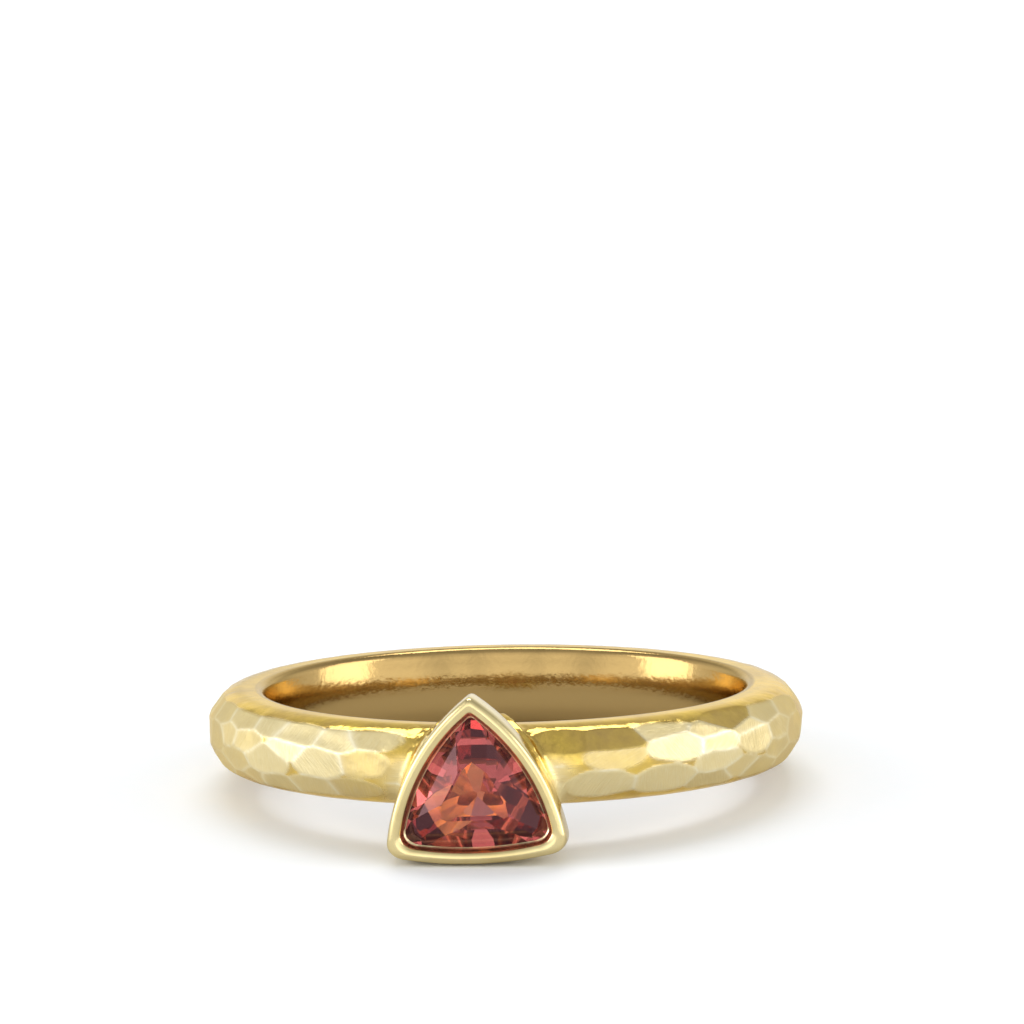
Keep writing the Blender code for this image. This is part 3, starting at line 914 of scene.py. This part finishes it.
def mark_setting(mesh):
    """Mark the dulled seat (red), the bright cut (green) for a painted highlight, and the lip's
    inner wall (blue) for painted shade.
    """
    size = settings().setting
    points = upright_points(mesh)
    depth = points[:, 1] + face_radius()
    inner = beside_setting(points) < -FINISH_INSET
    seat = inner & (depth > size.lip_thickness - 0.01 * MM)
    bright = inner & (depth > BRIGHT_CUT_DEPTH) & ~seat
    # The lip's inner wall darkens with depth: painted shade
    shaded = np.clip((depth - DARK_FROM) / DARK_OVER, 0.0, 1.0) * (inner & ~seat & ~bright)
    mask = np.stack([seat, bright * BRIGHT_CUT_SHARE, shaded, np.ones_like(inner)], axis=1)
    layer = mesh.color_attributes.new("marks", "FLOAT_COLOR", "POINT")
    layer.data.foreach_set("color", mask.astype(float).ravel())


class GARNET_OT_setting(bpy.types.Operator):
    """Shape the cup setting with its lip, its seat and the window behind the stone."""
    bl_idname = "garnet_ring.setting"
    bl_label = "Cup setting"

    def execute(self, context):
        size = settings().setting
        sections, seat = cup_sections()
        lip = lip_sections(size.steps)
        obj = laid_down("cup_setting", ringed(sections + lip + seat, closed=True))
        obj.data.shade_smooth()
        obj.data.set_sharp_from_angle(angle=SHARP_ANGLE)
        finished(obj, polished_gold(), BAND_NODE)
        mark_setting(obj.data)
        return {"FINISHED"}


# The stone

def facet_way(side, turn):
    """Direction of a facet, in degrees from the middle of a side, with the setting's lean."""
    angle = math.radians(side + turn) + settings().setting.lean
    return Vector((math.cos(angle), math.sin(angle)))


def girdle_reach(points, way):
    """How far an outline reaches from the stone's middle in one direction."""
    centre = outline_centre()
    return max((point - centre).dot(way) for point in points)


def cut_facet(bm, points, way, share, depth, slope, front):
    """Cut one facet through a line at a depth, leaning in by a slope to the front or the back."""
    reach = girdle_reach(points, way) * share
    at = place(outline_centre() + way * reach, depth)
    lean = -math.cos(slope) if front else math.cos(slope)
    normal = Vector((way.x * math.sin(slope), lean, way.y * math.sin(slope)))
    cut_away(bm, at, normal)


def cut_stone():
    """The stone: a prism of its outline, cut to a table, crown facets and back facets."""
    stone = settings().garnet
    girdle = outline(settings().setting.lip_width - stone.clearance, GIRDLE_COUNT)
    girdle_top = girdle_level()
    girdle_foot = girdle_top + stone.girdle
    bm = ringed([(girdle, girdle_top - stone.crown), (girdle, girdle_foot + stone.pavilion)],
                closed=False)
    loose = [edge for edge in bm.edges if edge.is_boundary]
    if loose:
        bmesh.ops.holes_fill(bm, edges=loose)
    bmesh.ops.recalc_face_normals(bm, faces=bm.faces)
    for side in SIDE_MIDDLES:
        for turn, share, steepness in CROWN_FACETS:
            cut_facet(bm, girdle, facet_way(side, turn), share, girdle_top,
                      stone.crown_angle * steepness, True)
        for turn, share, steepness in STAR_FACETS:
            cut_facet(bm, girdle, facet_way(side, turn), share,
                      girdle_top - stone.crown * STAR_RISE, stone.crown_angle * steepness, True)
        for turn, share, start, steepness in BACK_FACETS:
            way = facet_way(side, turn)
            slope = math.atan(stone.pavilion / girdle_reach(girdle, way)) * steepness
            cut_facet(bm, girdle, way, share, girdle_foot + stone.pavilion * start, slope,
                      False)
    bmesh.ops.remove_doubles(bm, verts=bm.verts, dist=2e-6)
    return bm


class GARNET_OT_stone(bpy.types.Operator):
    """Cut the trillion garnet."""
    bl_idname = "garnet_ring.stone"
    bl_label = "Garnet"

    def execute(self, context):
        obj = laid_down("trillion_garnet", cut_stone())
        finished(obj, red_garnet(), STONE_NODE)
        return {"FINISHED"}


# Materials

def new_material(name):
    """An empty material with its output; returns the material, its nodes and its links."""
    material = bpy.data.materials.new(name)
    material.use_nodes = True
    nodes = material.node_tree.nodes
    nodes.clear()
    return material, nodes, material.node_tree.links


def node(nodes, kind, **values):
    """A node with its properties set; names of inputs are given in a dict called inputs."""
    made = nodes.new(kind)
    for key, value in values.pop("inputs", {}).items():
        made.inputs[key].default_value = value
    for key, value in values.items():
        setattr(made, key, value)
    return made


def feed(links, given, socket):
    """Link another node's output to a socket, or set the socket to a plain value."""
    if isinstance(given, bpy.types.NodeSocket):
        links.new(given, socket)
    else:
        socket.default_value = given


def blend(nodes, links, share, first, second, way="MIX"):
    """Colour that goes from the first to the second as the share goes from 0 to 1."""
    made = node(nodes, "ShaderNodeMix", data_type="RGBA", blend_type=way)
    for number, given in ((0, share), (6, first), (7, second)):
        feed(links, given, made.inputs[number])
    return made.outputs[2]


def reckon(nodes, links, operation, first, second, kind="ShaderNodeMath"):
    """Sum or product of two values, or of two vectors."""
    made = node(nodes, kind, operation=operation)
    feed(links, first, made.inputs[0])
    feed(links, second, made.inputs[1])
    return made.outputs[0]


def speckle(nodes, links, spot, dimensions="3D", **inputs):
    """Noise from 0 to 1 at a spot."""
    made = node(nodes, "ShaderNodeTexNoise", noise_dimensions=dimensions)
    links.new(spot, made.inputs["Vector"])
    for name, given in inputs.items():
        feed(links, given, made.inputs[name])
    return made.outputs["Fac"]


def follow(nodes, links, share, stops):
    """What a colour ramp gives for a share, through its stops of position and value or colour."""
    made = nodes.new("ShaderNodeValToRGB")
    elements = made.color_ramp.elements
    for spare in list(elements)[1:]:
        elements.remove(spare)
    for number, (position, value) in enumerate(stops):
        element = elements[0] if number == 0 else elements.new(position)
        element.position = position
        element.color = (value, value, value, 1.0) if isinstance(value, float) else value
    links.new(share, made.inputs["Fac"])
    return made.outputs["Color"]


def engrave(nodes, links, shader, height, strength, distance):
    """Give a shader the relief of a height."""
    bump = node(nodes, "ShaderNodeBump", inputs={"Strength": strength, "Distance": distance})
    links.new(height, bump.inputs["Height"])
    links.new(bump.outputs["Normal"], shader.inputs["Normal"])


def painted_marks(nodes, links):
    """The four masks painted on a piece: red, green, blue and alpha."""
    marks = node(nodes, "ShaderNodeVertexColor", layer_name="marks")
    parts = nodes.new("ShaderNodeSeparateColor")
    links.new(marks.outputs["Color"], parts.inputs["Color"])
    return (*parts.outputs, marks.outputs["Alpha"])


def opaque(colour, share=1.0):
    """A share of a colour, with full cover."""
    return (*(share * part for part in colour), 1.0)


def group_named(name, inputs, outputs):
    """A shader node group with its sockets, or None when it is already built."""
    if name in bpy.data.node_groups:
        return None
    tree = bpy.data.node_groups.new(name, "ShaderNodeTree")
    for label, kind, default in inputs:
        socket = tree.interface.new_socket(label, in_out="INPUT", socket_type=kind)
        if default is not None:
            socket.default_value = default
    for label, kind in outputs:
        tree.interface.new_socket(label, in_out="OUTPUT", socket_type=kind)
    return tree


def brushing_group():
    """File strokes: fine ones over broader ones as a height, and the fine ones as streaks."""
    name = "file_strokes"
    tree = group_named(name, (("Vector", "NodeSocketVector", None),
                              ("Length", "NodeSocketFloat", 1.4),
                              ("Fineness", "NodeSocketFloat", 16.0)),
                       (("Height", "NodeSocketFloat"), ("Streaks", "NodeSocketFloat")))
    if tree is None:
        return bpy.data.node_groups[name]
    nodes = tree.nodes
    links = tree.links
    given = nodes.new("NodeGroupInput").outputs
    out = nodes.new("NodeGroupOutput").inputs
    stretch = nodes.new("ShaderNodeCombineXYZ")
    links.new(given["Length"], stretch.inputs["X"])
    links.new(given["Fineness"], stretch.inputs["Y"])
    narrow = reckon(nodes, links, "MULTIPLY", given["Vector"], stretch.outputs["Vector"],
                    kind="ShaderNodeVectorMath")
    broad = reckon(nodes, links, "MULTIPLY", narrow, (0.5, 0.28, 1.0),
                   kind="ShaderNodeVectorMath")
    lines = speckle(nodes, links, narrow, "2D", Scale=1.0, Detail=3.0, Roughness=0.6)
    bands = speckle(nodes, links, broad, "2D", Scale=1.0, Detail=2.0, Roughness=0.5)
    both = reckon(nodes, links, "ADD", lines, bands)
    links.new(reckon(nodes, links, "MULTIPLY", both, 0.5), out["Height"])
    links.new(lines, out["Streaks"])
    return tree


def wear_group():
    """Uneven tone, gloss and relief of worn gold; Size is in noise cells per metre."""
    name = "worn_metal"
    tree = group_named(name, (("Base", "NodeSocketColor", (0.86, 0.7, 0.37, 1.0)),
                              ("Deep", "NodeSocketColor", (0.74, 0.56, 0.25, 1.0)),
                              ("Roughness", "NodeSocketFloat", 0.14),
                              ("Spread", "NodeSocketFloat", 0.10),
                              ("Size", "NodeSocketFloat", 700.0)),
                       (("Color", "NodeSocketColor"), ("Roughness", "NodeSocketFloat"),
                        ("Height", "NodeSocketFloat")))
    if tree is None:
        return bpy.data.node_groups[name]
    nodes = tree.nodes
    links = tree.links
    given = nodes.new("NodeGroupInput").outputs
    out = nodes.new("NodeGroupOutput").inputs
    spot = nodes.new("ShaderNodeTexCoord").outputs["Object"]
    cloud = speckle(nodes, links, spot, Scale=given["Size"], Detail=4.0, Roughness=0.6)
    shade = follow(nodes, links, cloud, ((0.36, 0.0), (0.66, 1.0)))
    links.new(blend(nodes, links, shade, given["Deep"], given["Base"]), out["Color"])
    fine = speckle(nodes, links, spot, Scale=5200.0, Detail=5.0)
    spread = reckon(nodes, links, "MULTIPLY", fine, given["Spread"])
    links.new(reckon(nodes, links, "ADD", spread, given["Roughness"]), out["Roughness"])
    links.new(fine, out["Height"])
    return tree


def grouped(nodes, tree, **values):
    """A group node with some of its inputs set."""
    made = nodes.new("ShaderNodeGroup")
    made.node_tree = tree
    for key, value in values.items():
        made.inputs[key].default_value = value
    return made


def polished_gold():
    """Satin-polished gold of the setting, with a painted highlight on the bright cut and painted
    shade on the lip's inner wall. That the seat gives off light is only for the look.
    """
    finish = settings().finish
    material, nodes, links = new_material("polished_gold")
    out = nodes.new("ShaderNodeOutputMaterial")
    shader = node(nodes, "ShaderNodeBsdfPrincipled",
                  inputs={"Metallic": 1.0, "Emission Strength": 1.0})
    links.new(shader.outputs["BSDF"], out.inputs["Surface"])
    worn = grouped(nodes, wear_group(), Base=opaque(finish.gold), Deep=opaque(finish.worn_gold),
                   Roughness=0.12, Spread=0.09, Size=420.0)
    seat, cut, wall, _ = painted_marks(nodes, links)
    colour = blend(nodes, links, seat, worn.outputs["Color"], opaque(finish.seat))
    # The bright cut is lightened toward the ridge gold, a painted highlight, and the lip's inner
    # wall darkened, painted shade
    colour = blend(nodes, links, cut, colour, opaque(finish.ridge))
    colour = blend(nodes, links, wall, colour, opaque(finish.wall))
    links.new(colour, shader.inputs["Base Color"])
    glow = blend(nodes, links, seat, (0.0, 0.0, 0.0, 1.0), opaque(finish.glow))
    links.new(glow, shader.inputs["Emission Color"])
    links.new(worn.outputs["Roughness"], shader.inputs["Roughness"])
    engrave(nodes, links, shader, worn.outputs["Height"], 0.35, 0.004 * MM)
    return material


def hammered_gold():
    """Brushed hammer marks with painted highlights on their ridges, polished sides, and a bore
    darkened as painted shade.
    """
    finish = settings().finish
    material, nodes, links = new_material("hammered_gold")
    out = nodes.new("ShaderNodeOutputMaterial")
    shader = node(nodes, "ShaderNodeBsdfPrincipled",
                  inputs={"Metallic": 1.0, "Specular Tint": (1.0, 0.92, 0.70, 1.0)})
    links.new(shader.outputs["BSDF"], out.inputs["Surface"])
    ridge, tint, brush, bore = painted_marks(nodes, links)
    strokes = node(nodes, "ShaderNodeUVMap", uv_map="strokes")
    brushed = grouped(nodes, brushing_group(), Length=1.5, Fineness=17.0)
    links.new(strokes.outputs["UV"], brushed.inputs["Vector"])
    # The band's base is the deep gold, partly a painted reflection of gold on gold, with random worn
    # patches
    worn = grouped(nodes, wear_group(), Base=opaque(finish.deep), Deep=opaque(finish.worn_deep),
                   Roughness=0.09, Spread=0.10, Size=520.0)
    # The bore takes the darker bore gold: painted shade inside the finger hole
    polished = blend(nodes, links, bore, worn.outputs["Color"], opaque(finish.bore))
    tinted = blend(nodes, links, tint, opaque(finish.brushed, 0.86), opaque(finish.brushed))
    streak = follow(nodes, links, brushed.outputs["Streaks"], ((0.45, 0.0), (0.78, 0.34)))
    streaked = blend(nodes, links, streak, tinted, opaque(finish.ridge))
    satin = blend(nodes, links, brush, polished, streaked)
    # The ridges are lightened toward the ridge gold: painted highlight
    highlighted = blend(nodes, links, ridge, satin, opaque(finish.ridge))
    links.new(highlighted, shader.inputs["Base Color"])
    duller = reckon(nodes, links, "MULTIPLY", brush, 0.34)
    rough = reckon(nodes, links, "ADD", worn.outputs["Roughness"], duller)
    links.new(rough, shader.inputs["Roughness"])
    lines = reckon(nodes, links, "MULTIPLY", brushed.outputs["Height"], brush)
    pits = reckon(nodes, links, "MULTIPLY", worn.outputs["Height"], 0.25)
    relief = reckon(nodes, links, "ADD", lines, pits)
    engrave(nodes, links, shader, relief, 1.0, 0.028 * MM)
    return material


def red_garnet():
    """Clear red garnet with faint veils. Its own faint light and red gloss are for the look."""
    finish = settings().finish
    material, nodes, links = new_material("red_garnet")
    out = nodes.new("ShaderNodeOutputMaterial")
    shader = node(nodes, "ShaderNodeBsdfPrincipled",
                  inputs={"Transmission Weight": 1.0, "IOR": 1.77, "Roughness": 0.0,
                          "Specular Tint": (0.80, 0.42, 0.42, 1.0), "Emission Strength": 0.015,
                          "Emission Color": (0.50, 0.20, 0.34, 1.0)})
    links.new(shader.outputs["BSDF"], out.inputs["Surface"])
    spot = nodes.new("ShaderNodeTexCoord").outputs["Object"]
    veils = speckle(nodes, links, spot, Scale=900.0, Detail=5.0, Distortion=0.6)
    veiled = (finish.garnet[0] * 0.9, finish.garnet[1] * 0.8, finish.garnet[2] * 0.85, 1.0)
    colour = follow(nodes, links, veils, ((0.35, veiled), (0.70, opaque(finish.garnet))))
    links.new(colour, shader.inputs["Base Color"])
    haze = follow(nodes, links, veils, ((0.55, 0.0), (0.85, 0.05)))
    links.new(haze, shader.inputs["Roughness"])
    body = node(nodes, "ShaderNodeVolumeAbsorption",
                inputs={"Color": opaque(finish.depth), "Density": finish.density})
    links.new(body.outputs["Volume"], out.inputs["Volume"])
    return material


def pale_floor():
    """Matt white floor with a faint paper grain, brighter to the camera than to the metal."""
    finish = settings().finish
    material, nodes, links = new_material("pale_floor")
    out = nodes.new("ShaderNodeOutputMaterial")
    shader = node(nodes, "ShaderNodeBsdfPrincipled",
                  inputs={"Roughness": 0.9, "Specular IOR Level": 0.1})
    spot = nodes.new("ShaderNodeTexCoord").outputs["Object"]
    grain = speckle(nodes, links, spot, Scale=1400.0, Detail=3.0)
    tone = follow(nodes, links, grain, ((0.3, opaque(finish.floor, 0.985)),
                                        (0.7, opaque(finish.floor))))
    links.new(tone, shader.inputs["Base Color"])
    lift = node(nodes, "ShaderNodeBsdfDiffuse", inputs={"Color": (0.10, 0.10, 0.10, 1.0)})
    both = nodes.new("ShaderNodeAddShader")
    links.new(shader.outputs["BSDF"], both.inputs[0])
    links.new(lift.outputs["BSDF"], both.inputs[1])
    duller = node(nodes, "ShaderNodeBsdfDiffuse", inputs={"Color": (0.74, 0.74, 0.74, 1.0)})
    show_to_camera(nodes, links, both.outputs["Shader"], duller.outputs["BSDF"], out)
    return material


# The studio

def show_to_camera(nodes, links, to_camera, to_others, out):
    """Give an output one shader for the camera's own view, and another for all other rays."""
    seen = nodes.new("ShaderNodeLightPath")
    chosen = nodes.new("ShaderNodeMixShader")
    links.new(seen.outputs["Is Camera Ray"], chosen.inputs["Fac"])
    links.new(to_others, chosen.inputs[1])
    links.new(to_camera, chosen.inputs[2])
    links.new(chosen.outputs["Shader"], out.inputs["Surface"])


def studio_world():
    """White to the camera; to the metal a soft tent with a few darker openings."""
    world = bpy.data.worlds.new("studio")
    bpy.context.scene.world = world
    world.use_nodes = True
    nodes = world.node_tree.nodes
    links = world.node_tree.links
    nodes.clear()
    out = nodes.new("ShaderNodeOutputWorld")
    spot = nodes.new("ShaderNodeTexCoord").outputs["Generated"]
    apart = nodes.new("ShaderNodeSeparateXYZ")
    links.new(spot, apart.inputs["Vector"])
    walls = (1.0, 1.0, 1.0, 1.0)
    for axis, stops in (("Z", TENT_UPWARD), ("Y", TENT_BACKWARD), ("X", TENT_ACROSS)):
        share = node(nodes, "ShaderNodeMapRange", inputs={"From Min": -1.0})
        links.new(apart.outputs[axis], share.inputs["Value"])
        shade = follow(nodes, links, share.outputs["Result"], stops)
        walls = blend(nodes, links, 1.0, walls, shade, way="MULTIPLY")
    tent = node(nodes, "ShaderNodeBackground", inputs={"Strength": TENT_STRENGTH})
    links.new(walls, tent.inputs["Color"])
    white = node(nodes, "ShaderNodeBackground", inputs={"Color": (1, 1, 1, 1), "Strength": 1.0})
    show_to_camera(nodes, links, white.outputs["Background"], tent.outputs["Background"], out)


def softbox(name, position, width, height, brightness):
    """An area light that looks at the ring; brightness is what its face shows."""
    light = bpy.data.lights.new(name, "AREA")
    light.shape = "RECTANGLE"
    light.size = width
    light.size_y = height
    light.energy = brightness * math.pi * width * height
    at = Vector(position)
    turn = at.to_track_quat("Z", "Y").to_matrix().to_4x4()
    put_in_scene(name, light).matrix_world = Matrix.Translation(at) @ turn


def photo_camera():
    """The camera at the photograph's place, with its framing."""
    stage = settings().stage
    per_metre = stage.pixels_per_mm / MM
    back = Vector((math.sin(stage.turn) * math.cos(stage.rise),
                   -math.cos(stage.turn) * math.cos(stage.rise), math.sin(stage.rise)))
    level = Vector((math.cos(stage.turn), math.sin(stage.turn), 0.0))
    up = back.cross(level)
    across = (level * math.cos(stage.roll) + up * math.sin(stage.roll)).normalized()
    upward = back.cross(across).normalized()
    half = PHOTO_WIDTH / 2
    aim = across * ((half - stage.centre_x) / per_metre)
    aim += upward * ((stage.centre_y - half) / per_metre)
    eye = back * stage.distance + aim
    camera = bpy.data.cameras.new("photo_camera")
    camera.sensor_width = SENSOR_WIDTH
    camera.lens = SENSOR_WIDTH * stage.distance / (PHOTO_WIDTH / per_metre)
    camera.clip_start = 0.01
    camera.clip_end = 10.0
    pose = Matrix((across, upward, back)).transposed().to_4x4()
    pose.translation = eye
    obj = put_in_scene("photo_camera", camera)
    obj.matrix_world = rest_matrix() @ pose
    bpy.context.scene.camera = obj


class GARNET_OT_stage(bpy.types.Operator):
    """Set the floor, the soft studio light and the camera."""
    bl_idname = "garnet_ring.stage"
    bl_label = "Studio"

    def execute(self, context):
        stage = settings().stage
        bm = bmesh.new()
        bmesh.ops.create_circle(bm, cap_ends=True, radius=stage.floor_radius, segments=96)
        floor = object_of("floor", bm)
        floor.data.materials.append(pale_floor())
        studio_world()
        for name, position, width, height, brightness in SOFTBOXES:
            softbox(name, position, width, height, brightness)
        context.scene.view_settings.view_transform = "Standard"
        photo_camera()
        return {"FINISHED"}


class GARNET_PT_ring(bpy.types.Panel):
    """The ring's pieces and their sizes."""
    bl_label = "Garnet ring"
    bl_idname = "GARNET_PT_ring"
    bl_space_type = "VIEW_3D"
    bl_region_type = "UI"
    bl_category = "Garnet ring"

    def draw(self, context):
        ring = context.scene.garnet_ring
        for operator, sizes in ((GARNET_OT_band, ring.band), (GARNET_OT_setting, ring.setting),
                                (GARNET_OT_stone, ring.garnet), (GARNET_OT_stage, ring.stage)):
            box = self.layout.box()
            box.operator(operator.bl_idname)
            for name in sizes.__annotations__:
                box.prop(sizes, name)
        box = self.layout.box()
        for name in ring.finish.__annotations__:
            box.prop(ring.finish, name)


CLASSES = (BandSizes, SettingSizes, GarnetSizes, Finishes, StageSizes, RingProperties,
           GARNET_OT_band, GARNET_OT_setting, GARNET_OT_stone, GARNET_OT_stage, GARNET_PT_ring)


def register():
    for cls in CLASSES:
        bpy.utils.register_class(cls)
    bpy.types.Scene.garnet_ring = PointerProperty(type=RingProperties)


def unregister():
    del bpy.types.Scene.garnet_ring
    for cls in reversed(CLASSES):
        bpy.utils.unregister_class(cls)


def main():
    register()
    bpy.ops.garnet_ring.band()
    bpy.ops.garnet_ring.setting()
    bpy.ops.garnet_ring.stone()
    bpy.ops.garnet_ring.stage()


if __name__ == "__main__":
    main()
